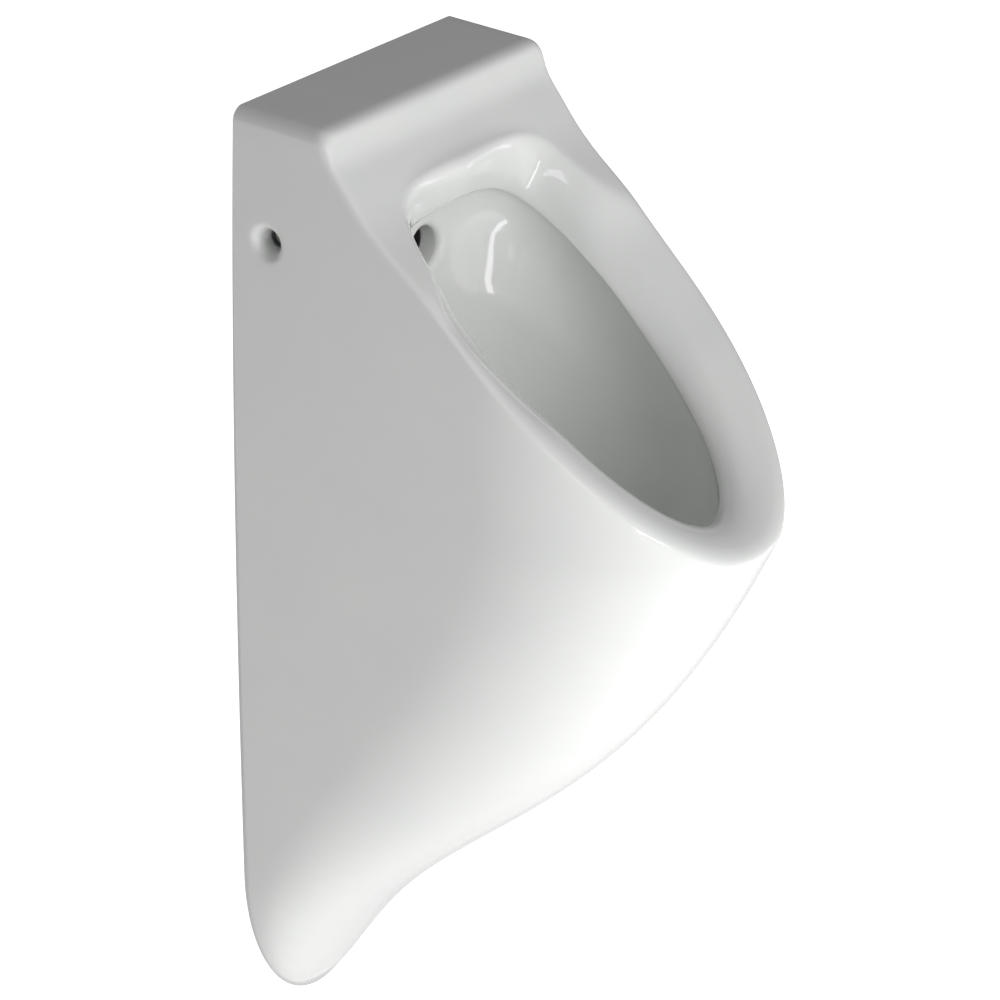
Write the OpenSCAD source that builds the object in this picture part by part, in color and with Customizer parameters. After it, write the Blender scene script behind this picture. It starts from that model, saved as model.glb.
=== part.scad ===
// Wall hung urinal with its wall fixing, flush inlet and concealed trap
// Millimetres. X to the right, Y into the wall, Z up. The origin is where the flush inlet's axis meets the wall.

/* [Ceramic body] */
// overall width at the top
body_w = 240; // [200:1:320]
// overall height
body_h = 702; // [560:1:820]
// how far the rim stands out from the wall
body_d = 343.5; // [280:0.5:400]
// narrowing of each side over the straight part of the height
side_taper = 26.8; // [0:0.1:40]
// height over which that narrowing is reached
taper_h = 560; // [300:1:700]
// height of the rounded lower end
end_h = 127; // [60:1:200]
// thickness of the ware
ware_t = 12; // [8:0.5:16]
// rounding of the top side edges
corner_r = 9; // [3:0.5:20]
// rounding of the front edge and of the rim's outer edge
edge_r = 9; // [3:0.5:20]

/* [Top block and rim] */
// depth of the top block at its upper edge
block_d = 71.5; // [50:0.5:110]
// how far the front of the block leans out over its height
block_lean = 0.27; // [0:0.01:0.6]
// height above the top where the line of the rim meets the wall
rim_line_z = 46; // [0:1:120]
// rise of the rim over its depth
rim_rise = 0.87; // [0.5:0.01:1.3]
// depth of the cove between block and rim
cove_dip = 5.5; // [0:0.5:14]
// height of the deepest place of the cove, below the top
cove_z = 60; // [30:1:90]
// half height of the cove
cove_half = 34; // [15:1:60]
// how softly the block runs into the cove
cove_blend = 7; // [1:0.5:20]
// how far the upper rim lies behind its line
rim_back = 2.5; // [0:0.5:8]
// height below the top where the rim reaches its line
rim_plain_z = 200; // [150:1:250]
// height over which it comes to its line
rim_soft_h = 60; // [20:1:120]
// straight part of the rim's outline before it rounds in
plan_straight = 196; // [120:1:260]

/* [Underside curve] */
// first handle of the underside curve, out from the wall
under_y1 = 229; // [150:1:330]
// first handle of the underside curve, above the lower end
under_up1 = 173.4; // [100:0.1:300]
// second handle of the underside curve, out from the wall
under_y2 = 107.2; // [40:0.1:200]
// second handle of the underside curve, above the lower end
under_up2 = 200.3; // [100:0.1:300]
// share of the depth that stays flat at the sides, just under the rim
flat_share = 0.57; // [0.3:0.01:0.8]

/* [Bowl opening] */
// half width of the opening inside its lip
mouth_half_w = 73; // [50:1:95]
// height of the widest place of the opening, below the top
mouth_wide_z = 122; // [90:1:160]
// upper end of the opening on the rim's line, below the top
mouth_top_z = 55; // [40:1:90]
// lower end of the opening on the rim's line, below the top
mouth_low_z = 228.4; // [180:0.1:240]
// depth of the lip at the top of the opening
lip_top_drop = 26; // [10:1:40]
// depth of the lip at the sides
lip_side_drop = 28; // [10:1:40]
// depth of the lip at the front
lip_front_drop = 22; // [10:1:40]
// Further drop of the lip at the opening's upper corners
lip_corner_drop = 7; // [0:0.5:15]
// Height below the top where the lip's roll is fully round
lip_round_z = 166; // [120:1:220]
// Height over which the roll turns from a straight slope to round
lip_straight_h = 71; // [30:1:120]
// width of the rolled lip at the top
lip_top_w = 16; // [8:1:40]
// width of the rolled lip at the sides
lip_side_w = 48; // [20:1:60]
// rise of the soft bulge over the opening
bulge_h = 3.5; // [0:0.5:12]
// width of the soft bulge
bulge_w = 9; // [5:0.5:25]

/* [Bowl interior] */
// distance of the bowl's back wall from the wall
bowl_back_d = 67; // [55:0.5:90]
// height of the roof's curve
roof_h = 32; // [20:1:50]
// height of the bowl's floor above the lower end
floor_up = 317; // [290:1:360]
// distance of the outlet's axis from the wall
outlet_d = 96; // [80:1:120]
// radius of the bowl's flat floor
floor_r = 29; // [24:0.5:40]
// first handle of the bowl's front, out from the wall
front_y1 = 306; // [250:1:320]
// how far down the first handle of the bowl's front is
front_1_share = 0.286; // [0.1:0.01:0.6]
// second handle of the bowl's front, out from the wall
front_y2 = 250; // [180:1:290]
// how far down the second handle of the bowl's front is
front_2_share = 0.907; // [0.6:0.01:1]
// half width that the bowl swells towards under the lip
bowl_w1 = 92; // [70:1:95]
// half width that the bowl narrows towards above the floor
bowl_w2 = 70; // [50:1:85]

/* [Flush inlet] */
// height of the flush inlet, below the top
inlet_z = 117; // [100:1:140]
// radius of the flush hole in the ware
inlet_r = 16; // [14:0.5:24]
// flare of the hole's mouth
inlet_flare = 4; // [1:0.5:8]
// radius of the boss behind the flush hole
inlet_boss_r = 26; // [22:0.5:34]
// distance of the boss's end from the wall
inlet_boss_end = 36; // [20:1:50]
// outer radius of the flush pipe
flush_pipe_r = 14; // [12:0.5:20]
// wall thickness of the flush pipe
flush_pipe_t = 2; // [1.5:0.1:3]
// how far the flush pipe reaches into the wall
flush_in_wall = 45; // [20:1:80]
// distance of the flush pipe's end from the wall
pipe_end = 44; // [40:1:52]
// rise of the stop bead on the flush pipe
bead_rise = 2; // [1:0.5:4]
// distance of the stop bead from the wall
bead_d = 6; // [2:1:15]
// length of the inlet seal in the boss
seal_len = 17; // [10:0.5:20]
// width of the inlet seal's outer bead
seal_lip = 3; // [2:0.5:5]

/* [Side fixing] */
// height of the side fixing holes, below the top
side_z = 86.5; // [60:0.5:140]
// distance of the side fixing holes from the wall
side_d = 28; // [20:0.5:45]
// radius of the side fixing holes
side_r = 6.25; // [4:0.25:9]
// outer radius of the dimple around each hole
dimple_r = 14; // [9:0.5:18]
// depth of the dimple
dimple_depth = 8.5; // [3:0.5:11]
// thickness of the ware at the side holes
side_boss_t = 20; // [15:0.5:26]
// radius of the thick place at the side holes
side_boss_r = 19; // [14:0.5:24]
// radius of the set screws
set_screw_r = 4; // [3:0.5:6]
// length of the set screws
set_screw_l = 22; // [16:1:35]
// width across the socket in the set screws
set_socket_w = 4; // [3:0.5:6]
// depth of the socket in the set screws
set_socket_depth = 5; // [3:0.5:8]
// length of the sleeves in the holes
sleeve_l = 6.5; // [5:0.5:11]
// radius of the sleeves' flanges
sleeve_flange_r = 10; // [8:0.5:14]
// thickness of the sleeves' flanges
sleeve_flange_t = 2; // [1:0.5:4]
// thickness of the brackets
bracket_t = 3; // [2:0.5:5]
// how far the brackets stand out from the wall
bracket_d = 42; // [36:1:55]
// height of the brackets
bracket_h = 60; // [45:1:90]
// width of the brackets on the wall
bracket_w = 62; // [50:1:70]
// width across the weld nuts
weld_nut_w = 13; // [10:0.5:19]
// thickness of the weld nuts
weld_nut_t = 6.5; // [4:0.5:9]

/* [Wall screws] */
// distance between the two screws of a bracket
wall_screw_gap = 36; // [20:1:60]
// distance of the wall screws from the bracket's side tab
wall_screw_in = 51.4; // [40:0.1:55]
// radius of the wall screws
wall_screw_r = 3; // [2.5:0.25:5]
// length of the wall screws in the wall
wall_screw_l = 41; // [30:1:80]
// width across the screw heads
screw_head_w = 10; // [8:0.5:15]
// height of the screw heads
screw_head_h = 4.5; // [3:0.5:7]
// radius of the washers
washer_r = 8; // [6:0.5:12]
// thickness of the washers
washer_t = 1.5; // [1:0.1:3]
// outer radius of the wall plugs
plug_r = 5; // [4:0.25:8]
// length of the wall plugs
plug_l = 45; // [35:1:90]

/* [Waste] */
// depth of the recess around the outlet
recess_depth = 6; // [3:0.5:9]
// radius of the recess around the outlet
recess_r = 27; // [22:0.5:34]
// radius of the outlet hole in the ware
outlet_r = 21; // [17:0.5:26]
// thickness of the ware at the outlet
outlet_boss_t = 17; // [13:0.5:24]
// thickness of the waste seals
waste_seal_t = 2; // [1:0.5:4]
// thickness of the waste's flange
flange_t = 2.5; // [1.5:0.1:4]
// outer radius of the waste's tail
tail_r = 19.5; // [15:0.5:24]
// inner radius of the waste's tail
tail_bore_r = 15.5; // [12:0.5:20]
// radius of the seat in the waste's mouth
seat_r = 17.5; // [14:0.5:18.5]
// depth of the seat in the waste's mouth
seat_depth = 7; // [5:0.5:12]
// length of the waste's tail below its flange
tail_l = 56; // [40:1:80]
// width across the lock nut
lock_nut_w = 54; // [44:1:70]
// thickness of the lock nut
lock_nut_t = 8; // [5:0.5:12]

/* [Strainer and dip tube] */
// radius of the strainer
strainer_r = 24.5; // [20:0.5:26]
// thickness of the strainer
strainer_t = 1.5; // [1:0.1:3]
// radius of the strainer's holes
strainer_hole_r = 2.2; // [1:0.1:3.5]
// outer radius of the strainer's skirt
skirt_r = 16.6; // [12:0.1:18]
// length of the strainer's skirt
skirt_l = 3.2; // [1:0.1:4]
// gap between pieces that lift apart
lift_gap = 0.3; // [0.1:0.05:0.6]
// outer radius of the dip tube
dip_r = 13.5; // [10:0.5:16]
// wall thickness of the dip tube
dip_t = 2; // [1.5:0.1:3]
// room between the dip tube's end and the bottle's floor
dip_room = 6; // [4:0.5:20]
// radius of the dip tube's collar
collar_r = 17.1; // [14:0.1:19]
// height of the dip tube's collar
collar_h = 2.8; // [2:0.1:6]
// thickness of the dip tube's sealing ring
ring_t = 2; // [1:0.1:3]

/* [Trap] */
// room between the lock nut and the union nut
union_room = 7; // [2:0.5:15]
// height of the union nut
union_h = 18; // [12:1:26]
// outer radius of the union nut
union_r = 30; // [26:0.5:38]
// outer radius of the bottle's neck
neck_r = 25; // [22:0.5:32]
// outer radius of the bottle
bottle_r = 26.5; // [22:0.5:32]
// length of the trap from the bowl's floor to the bottle's underside
trap_l = 142; // [120:1:170]
// bevel of the bottle's lower edge
bottle_bevel = 6; // [2:0.5:12]
// wall thickness of the bottle
bottle_t = 2; // [1.5:0.1:4]
// distance of the trap's outlet above the bottle's underside
trap_out_up = 69; // [50:1:72]
// distance of the outlet socket's end from the wall
socket_end = 50; // [30:1:60]
// outer radius of the outlet pipe
pipe_r = 16; // [12:0.5:20]
// wall thickness of the outlet pipe
pipe_t = 2; // [1.5:0.1:3]
// how far the outlet pipe reaches into the wall
pipe_in_wall = 45; // [20:1:80]
// outer radius of the outlet socket
socket_r = 20.5; // [18:0.5:26]
// outer radius of the slip nut
slip_nut_r = 24.5; // [22:0.5:30]
// length of the slip nut
slip_nut_l = 15; // [10:1:24]
// thickness of the nuts' rims
nut_rim_t = 3; // [2:0.5:5]
// height of the slip washers
slip_washer_t = 4; // [2:0.5:7]
// outer radius of the drain seal's flange
drain_flange_r = 31; // [26:0.5:40]
// outer radius of the drain seal
drain_seal_r = 25; // [20:0.5:34]
// length of the drain seal
drain_seal_l = 24; // [12:1:40]
// grip ribs around each nut
grip_ribs = 16; // [8:1:30]
// radius of a grip rib
grip_r = 1.6; // [1:0.1:3]

/* [Hidden] */
// whole part or one node
$fn = 96;
// overrun of every cut
cut = 1;
// free running gap of screws in their holes
play = 0.1;
half_w = body_w / 2;
plan_round = body_d - plan_straight;
rim_front_z = rim_rise * body_d - rim_line_z;
floor_z = body_h - floor_up;
rim_slope = atan(rim_rise);

// Mesh counts around half a ring and along the surfaces
n_top = 5;
n_arc = 3;
n_side = 20;
n_half = n_top + n_arc + n_side;
n_outer = 10;
// crowding of the rings towards the wall
ring_crowd = 1.5;
n_edge = 3;
n_rim = 10;
n_roof = 4;
n_bowl = 8;
search_steps = 22;

// Colours
ware_c = [0.93, 0.93, 0.92];
steel_c = [0.72, 0.73, 0.74];
zinc_c = [0.78, 0.77, 0.72];
rubber_c = [0.12, 0.12, 0.12];
plastic_c = [0.86, 0.86, 0.84];
nylon_c = [0.55, 0.56, 0.58];
chrome_c = [0.8, 0.81, 0.82];

// Small helpers
function mix(a, b, t) = a + (b - a) * t;
function clamp(v, low, high) = min(max(v, low), high);
function bez(a, b, c, d, t) = a * pow(1 - t, 3) + 3 * b * pow(1 - t, 2) * t + 3 * c * (1 - t) * t * t + d * pow(t, 3);
function soft_max(a, b, k) = (a + b + sqrt((a - b) * (a - b) + k * k)) / 2;
function unit(v) = v / max(norm(v), 1e-9);

// Half width of the body at a height h below the top
function side_line(h) = half_w - side_taper * pow(h / taper_h, 1.5);
function end_share(h) = clamp((h - (body_h - end_h)) / end_h, 0, 1);
function half_width(h) = side_line(h) * sqrt(max(0, 1 - pow(end_share(h), 2)));

// Front line of the side view: block, cove and rim
function rim_depth(h) = (rim_line_z + h) / rim_rise;
function cove(h) = abs(h - cove_z) < cove_half ? cove_dip * pow(cos((h - cove_z) / cove_half * 90), 2) : 0;
function rim_soft(h) = rim_back * clamp((rim_plain_z - h) / rim_soft_h, 0, 1);
function front_line(h) = h > rim_plain_z ? rim_depth(h)
    : soft_max(block_d + block_lean * h, rim_depth(h) - cove(h) - rim_soft(h), cove_blend);

// Depth of the underside at a height h below the top
function under_t(h, low, high, n) = n == 0 ? (low + high) / 2
    : let (mid = (low + high) / 2)
      bez(rim_front_z, body_h - under_up1, body_h - under_up2, body_h, mid) < h
      ? under_t(h, mid, high, n - 1) : under_t(h, low, mid, n - 1);
function under_depth(h) = h <= rim_front_z ? body_d
    : h >= body_h ? 0
    : let (t = under_t(h, 0, 1, search_steps)) bez(body_d, under_y1, under_y2, 0, t);
function low_share(h) = clamp((h - rim_front_z) / (body_h - rim_front_z), 0, 1);
function flat_depth(h) = h <= rim_front_z ? plan_straight
    : flat_share * under_depth(h) * pow(1 - pow(low_share(h), 2), 1.5);

// Half width at a height h and a depth y from the wall
function width_at(y, h) = let (s = flat_depth(h), d = under_depth(h))
    y <= s ? half_width(h)
    : half_width(h) * sqrt(max(0, 1 - pow(min((y - s) / max(d - s, 1e-6), 1), 2)));

// Height where the outer skin closes for a share v of the way from the wall to the rim
function close_h(v, low, high, n) = n == 0 ? (low + high) / 2
    : let (mid = (low + high) / 2)
      under_depth(mid) > rim_depth(mid) * v ? close_h(v, mid, high, n - 1) : close_h(v, low, mid, n - 1);
function skin_h(v) = v <= 0 ? body_h : v >= 1 ? rim_front_z : close_h(v, rim_front_z, body_h, search_steps);

// Outer skin: point j of the half ring at share v
function skin_side(h, v, last) = let (y = front_line(h) * v)
    [last ? 0 : width_at(y, h), -y, -h];
function skin(j, v, low) = j <= n_top
    ? [(half_w - corner_r) * j / n_top, -front_line(0) * v, 0]
    : j <= n_top + n_arc
    ? let (a = (j - n_top) / n_arc * 90, h = corner_r * (1 - cos(a)))
      [half_w - corner_r * (1 - sin(a)), -front_line(h) * v, -h]
    : let (a = (j - n_top - n_arc) / n_side * 90, h = corner_r + (low - corner_r) * sin(a))
      skin_side(h, v, j == n_half);

// Opening: its loop on the rim's line, and the roll of the lip
function mouth_angle(j) = j <= n_top ? 45 * j / n_top
    : j <= n_top + n_arc ? mix(45, 52, (j - n_top) / n_arc)
    : mix(52, 180, (j - n_top - n_arc) / n_side);
function mouth_square(a) = a > 90 ? 1 : pow(pow(abs(sin(a)), 4.5) + pow(abs(cos(a)), 4.5), 1 / 4.5);
function mouth_h(a) = mouth_wide_z
    - (a <= 90 ? mouth_wide_z - mouth_top_z : mouth_low_z - mouth_wide_z) * cos(a) / mouth_square(a);
function mouth_x(a) = mouth_half_w * abs(sin(a)) / mouth_square(a);
function lip_drop(a) = a <= 90
    ? mix(lip_top_drop, lip_side_drop, pow(sin(a), 2)) + lip_corner_drop * pow(sin(2 * a), 2)
    : mix(lip_side_drop, lip_front_drop, pow(cos(a), 2));
function lip_straight(a, h) = sin(min(a, 90)) * clamp((lip_round_z - h) / lip_straight_h, 0, 1);
function lip_width(a, span) = a >= 90 ? span : min(span, mix(lip_top_w, lip_side_w, pow(sin(a), 5)));
function on_front(x, h, out) = [x, -front_line(h) - out * sin(rim_slope), -h + out * cos(rim_slope)];
function rim_point(j, m) = let (
        e = skin(j, 1, rim_front_z),
        a = mouth_angle(j),
        h = mix(-e[2], mouth_h(a), m),
        x = mix(e[0], mouth_x(a), m),
        span = norm(on_front(mouth_x(a), mouth_h(a), 0) - e),
        wide = lip_width(a, span),
        d = (1 - m) * span,
        roll = clamp(1 - d / wide, 0, 1),
        drop = lip_drop(a) * mix(1 - sqrt(max(0, 1 - roll * roll)), pow(roll, 1.25), lip_straight(a, h)),
        rise = bulge_h * pow(max(cos(a), 0), 1.2) * exp(-pow((d - bulge_w) / bulge_w, 2)) * (1 - roll * roll)
    ) on_front(x, h, rise - drop);

// Bowl: back, front and width lines, and a point of ring b
roof_share = 0.26;
oval_share = 0.35;
lip_top = rim_point(0, 1);
lip_low = rim_point(n_half, 1);
function bowl_back(b) = b < roof_share
    ? let (q = b / roof_share * 90)
      [mix(lip_top[1], -bowl_back_d, sin(q)), lip_top[2] - roof_h * (1 - cos(q))]
    : [mix(-bowl_back_d, -outlet_d + floor_r, pow((b - roof_share) / (1 - roof_share), 3)),
       mix(lip_top[2] - roof_h, -floor_z, (b - roof_share) / (1 - roof_share))];
function bowl_front(b) = [bez(lip_low[1], -front_y1, -front_y2, -outlet_d - floor_r, b),
                          bez(lip_low[2], mix(lip_low[2], -floor_z, front_1_share),
                              mix(lip_low[2], -floor_z, front_2_share), -floor_z, b)];
function bowl_half(b) = bez(mouth_half_w, bowl_w1, bowl_w2, floor_r, b);
function egg_f(a) = (mouth_h(a) - mouth_top_z) / (mouth_low_z - mouth_top_z);
function egg_g(a) = mouth_x(a) / mouth_half_w;
function bowl_ring(j, b) = let (
        a = mouth_angle(j),
        oval = min(1, b / oval_share),
        f = mix(egg_f(a), (1 - cos(a)) / 2, oval),
        g = mix(egg_g(a), sin(a), oval),
        p = bowl_back(b) + (bowl_front(b) - bowl_back(b)) * f
    ) [bowl_half(b) * g, p[0], p[1]];
function bowl_point(j, b) = bowl_ring(j, b) + (rim_point(j, 1) - bowl_ring(j, 0)) * pow(1 - b, 3);

// Rounded edge between the outer skin and the rim
function edge_point(j, t) = let (
        e = skin(j, 1, rim_front_z),
        w = skin(j, 0, body_h),
        va = 1 - edge_r / norm(e - w),
        a = skin(j, va, skin_h(va)),
        span = norm(on_front(mouth_x(mouth_angle(j)), mouth_h(mouth_angle(j)), 0) - e),
        b = rim_point(j, edge_r / span)
    ) a * pow(1 - t, 2) + 2 * e * (1 - t) * t + b * t * t;
function outer_share(j, i) = let (
        e = skin(j, 1, rim_front_z),
        w = skin(j, 0, body_h)
    ) (1 - edge_r / norm(e - w)) * pow(i / n_outer, ring_crowd);
function rim_share(j, i) = let (
        e = skin(j, 1, rim_front_z),
        span = norm(on_front(mouth_x(mouth_angle(j)), mouth_h(mouth_angle(j)), 0) - e)
    ) mix(edge_r / span, 1, sin(90 * i / n_rim));

// All half rings of the ware's skin, from the wall over the rim to the bowl's floor
function full_rings() = [
    for (i = [0 : n_outer]) [for (j = [0 : n_half]) let (v = outer_share(j, i)) skin(j, v, skin_h(v))],
    for (i = [1 : n_edge]) [for (j = [0 : n_half]) edge_point(j, i / (n_edge + 1))],
    for (i = [0 : n_rim]) [for (j = [0 : n_half]) rim_point(j, rim_share(j, i))],
    for (i = [1 : n_roof]) [for (j = [0 : n_half]) bowl_point(j, roof_share * i / n_roof)],
    for (i = [1 : n_bowl]) [for (j = [0 : n_half]) bowl_point(j, mix(roof_share, 1, i / n_bowl))]
];
// Outward normal at a place of the rings, from its neighbours
function across(r, i, j) = let (n = len(r[i]) - 1)
    j == 0 ? let (q = r[i][1]) q - [-q[0], q[1], q[2]]
    : j == n ? let (q = r[i][n - 1]) [-q[0], q[1], q[2]] - q
    : r[i][j + 1] - r[i][j - 1];
function along(r, i, j) = r[min(i + 1, len(r) - 1)][j] - r[max(i - 1, 0)][j];
function normal(r, i, j) = unit(cross(along(r, i, j), across(r, i, j)));
// Some of the rings, moved into the ware by its thickness, bound the hollow behind it
first_rim = n_outer + n_edge + 1;
first_bowl = first_rim + n_rim + n_roof + 1;
hollow_picks = [each [0 : n_outer - 1], first_rim + 1, first_rim + 3, first_rim + n_rim + 2,
                each [first_bowl - 1 : first_bowl + n_bowl - 1]];
function inset_rings(r, t) = [for (i = hollow_picks) [for (j = [0 : n_half]) r[i][j] - t * normal(r, i, j)]];
function moved(ring, v) = [for (p = ring) p + v];

// Closed solid from half rings: mirrored, capped at both ends
function whole_ring(h) = concat(h, [for (j = [len(h) - 2 : -1 : 1]) [-h[j][0], h[j][1], h[j][2]]]);
function centre(ring, i = 0, s = [0, 0, 0]) = i == len(ring) ? s / len(ring) : centre(ring, i + 1, s + ring[i]);
module ring_solid(halves) {
    rings = [for (h = halves) whole_ring(h)];
    m = len(rings[0]);
    k = len(rings);
    pts = concat([for (r = rings) each r], [centre(rings[0]), centre(rings[k - 1])]);
    sides = [for (i = [0 : k - 2]) for (j = [0 : m - 1])
        let (a = i * m + j, b = i * m + (j + 1) % m, c = a + m, d = b + m)
        each [[a, b, d], [a, d, c]]];
    caps = [for (j = [0 : m - 1]) each [[k * m, (j + 1) % m, j],
                                        [k * m + 1, (k - 1) * m + j, (k - 1) * m + (j + 1) % m]]];
    polyhedron(points = pts, faces = concat(sides, caps), convexity = 8);
}

// The pieces are laid out from the top edge, and the inlet's axis is the origin
module hang() {
    translate([0, 0, inlet_z])
        children();
}

// A ring about the Z axis
module tube(r_out, r_in, h) {
    difference() {
        cylinder(r = r_out, h = h);
        translate([0, 0, -cut])
            cylinder(r = r_in, h = h + 2 * cut);
    }
}
// The same, lying along Y and starting at the wall side
module tube_y(r_out, r_in, l) {
    rotate([90, 0, 0])
        tube(r_out, r_in, l);
}
module hex_prism(w, h) {
    cylinder(r = w / sqrt(3), h = h, $fn = 6);
}
module both_sides() {
    children();
    mirror([1, 0, 0])
        children();
}

// Where things stand
side_x = half_width(side_z);
side_in_x = side_x - side_boss_t;
tab_x = side_in_x - sleeve_flange_t;
gasket_z = -floor_z - recess_depth;
flange_z = gasket_z + waste_seal_t;
seat_z = flange_z + flange_t - seat_depth;
boss_z = -floor_z - outlet_boss_t;
nut_z = boss_z - waste_seal_t;
union_z = -nut_z + lock_nut_t + union_room;
bottle_z = floor_z + trap_l;
trap_out_z = bottle_z - trap_out_up;
dip_end_z = bottle_z - bottle_t - dip_room;
wall_screw_x = tab_x - wall_screw_in;

// Ware
module ware_shell() {
    skin_rings = full_rings();
    inner_rings = inset_rings(skin_rings, ware_t);
    resize([body_w, 0, 0])
        difference() {
            union() {
                difference() {
                    ring_solid(skin_rings);
                    ring_solid(concat([moved(inner_rings[0], [0, ware_t, 0])], inner_rings));
                }
                translate([0, -bowl_back_d + ware_t / 2, -inlet_z])
                    rotate([-90, 0, 0])
                        cylinder(r = inlet_boss_r, h = bowl_back_d - ware_t / 2 - inlet_boss_end, $fn = 40);
                translate([0, -outlet_d, boss_z])
                    cylinder(r = floor_r + ware_t, h = outlet_boss_t, $fn = 40);
                both_sides()
                    translate([side_in_x, -side_d, -side_z])
                        rotate([0, 90, 0])
                            cylinder(r = side_boss_r, h = side_boss_t - ware_t / 3, $fn = 32);
            }
            translate([-body_w, 0, -body_h - ware_t])
                cube([2 * body_w, body_w, body_h + 2 * ware_t]);
        }
}
module ceramic_body() {
    hang() color(ware_c)
        difference() {
            ware_shell();
            translate([0, -bowl_back_d - cut * 4, -inlet_z])
                rotate([-90, 0, 0])
                    cylinder(r = inlet_r, h = bowl_back_d);
            translate([0, -bowl_back_d - inlet_flare, -inlet_z])
                rotate([-90, 0, 0])
                    cylinder(r1 = inlet_r + 2 * inlet_flare, r2 = inlet_r, h = 2 * inlet_flare);
            both_sides() {
                translate([side_in_x - cut, -side_d, -side_z])
                    rotate([0, 90, 0])
                        cylinder(r = side_r, h = side_boss_t + 2 * cut);
                translate([side_x - dimple_depth, -side_d, -side_z])
                    rotate([0, 90, 0])
                        cylinder(r1 = side_r, r2 = side_r + (dimple_r - side_r) * 1.25, h = dimple_depth * 1.25);
            }
            translate([0, -outlet_d, boss_z - cut])
                cylinder(r = outlet_r, h = outlet_boss_t + 2 * cut);
            translate([0, -outlet_d, gasket_z])
                cylinder(r = recess_r, h = recess_depth + cut);
        }
}

// Side fixing
module bracket() {
    difference() {
        union() {
            translate([tab_x - bracket_w, -bracket_t, -side_z - bracket_h / 2])
                cube([bracket_w, bracket_t, bracket_h]);
            translate([tab_x - bracket_t, -bracket_d, -side_z - bracket_h / 3])
                cube([bracket_t, bracket_d, bracket_h * 2 / 3]);
        }
        translate([tab_x - bracket_t - cut, -side_d, -side_z])
            rotate([0, 90, 0])
                cylinder(r = set_screw_r + play, h = bracket_t + 2 * cut);
        for (s = [-0.5, 0.5])
            translate([wall_screw_x, cut, -side_z + s * wall_screw_gap])
                rotate([90, 0, 0])
                    cylinder(r = wall_screw_r + 3 * play, h = bracket_t + 2 * cut);
    }
}
module right_bracket() {
    hang() color(zinc_c)
        bracket();
}
module left_bracket() {
    hang() color(zinc_c)
        mirror([1, 0, 0])
            bracket();
}
module bracket_weld_nuts() {
    hang() color(zinc_c)
        both_sides()
            translate([tab_x - bracket_t - weld_nut_t, -side_d, -side_z])
                rotate([0, 90, 0])
                    difference() {
                        hex_prism(weld_nut_w, weld_nut_t);
                        translate([0, 0, -cut])
                            cylinder(r = set_screw_r + play, h = weld_nut_t + 2 * cut);
                    }
}
module side_set_screws() {
    hang() color(steel_c)
        both_sides()
            translate([side_in_x + sleeve_l - cut - set_screw_l, -side_d, -side_z])
                rotate([0, 90, 0])
                    difference() {
                        cylinder(r = set_screw_r, h = set_screw_l);
                        translate([0, 0, set_screw_l - set_socket_depth])
                            hex_prism(set_socket_w, set_socket_depth + cut);
                    }
}
module side_hole_sleeves() {
    hang() color(nylon_c)
        both_sides()
            translate([side_in_x, -side_d, -side_z])
                rotate([0, 90, 0])
                    difference() {
                        union() {
                            cylinder(r = side_r - play, h = sleeve_l);
                            translate([0, 0, -sleeve_flange_t])
                                cylinder(r = sleeve_flange_r, h = sleeve_flange_t);
                        }
                        translate([0, 0, -sleeve_flange_t - cut])
                            cylinder(r = set_screw_r + play, h = sleeve_l + sleeve_flange_t + 2 * cut);
                    }
}

// Places of the four wall screws
module at_wall_screws() {
    for (x = [-wall_screw_x, wall_screw_x])
        for (s = [-0.5, 0.5])
            translate([x, 0, -side_z + s * wall_screw_gap])
                rotate([-90, 0, 0])
                    children();
}
module wall_screws() {
    hang() color(zinc_c)
        at_wall_screws()
            union() {
                translate([0, 0, -bracket_t - washer_t - screw_head_h])
                    hex_prism(screw_head_w, screw_head_h);
                translate([0, 0, -bracket_t - washer_t - screw_head_h / 2])
                    cylinder(r = wall_screw_r, h = bracket_t + washer_t + screw_head_h / 2 + wall_screw_l);
            }
}
module wall_screw_washers() {
    hang() color(zinc_c)
        at_wall_screws()
            translate([0, 0, -bracket_t - washer_t])
                tube(washer_r, wall_screw_r + 3 * play, washer_t);
}
module wall_plugs() {
    hang() color(nylon_c)
        at_wall_screws()
            difference() {
                cylinder(r = plug_r, h = plug_l);
                translate([0, 0, -cut])
                    cylinder(r = wall_screw_r + play, h = wall_screw_l + cut * 1.5);
            }
}

// Flush inlet
module flush_pipe() {
    hang() color(plastic_c)
        translate([0, 0, -inlet_z])
            union() {
                translate([0, flush_in_wall, 0])
                    tube_y(flush_pipe_r, flush_pipe_r - flush_pipe_t, flush_in_wall + pipe_end);
                translate([0, -bead_d, 0])
                    tube_y(flush_pipe_r + bead_rise, flush_pipe_r - flush_pipe_t, bead_rise);
            }
}
module inlet_seal() {
    hang() color(rubber_c)
        translate([0, 0, -inlet_z])
            union() {
                translate([0, -inlet_boss_end, 0])
                    tube_y(inlet_r, flush_pipe_r, seal_len);
                translate([0, -inlet_boss_end + seal_lip, 0])
                    tube_y(inlet_r + seal_lip, flush_pipe_r, seal_lip);
            }
}

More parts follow.
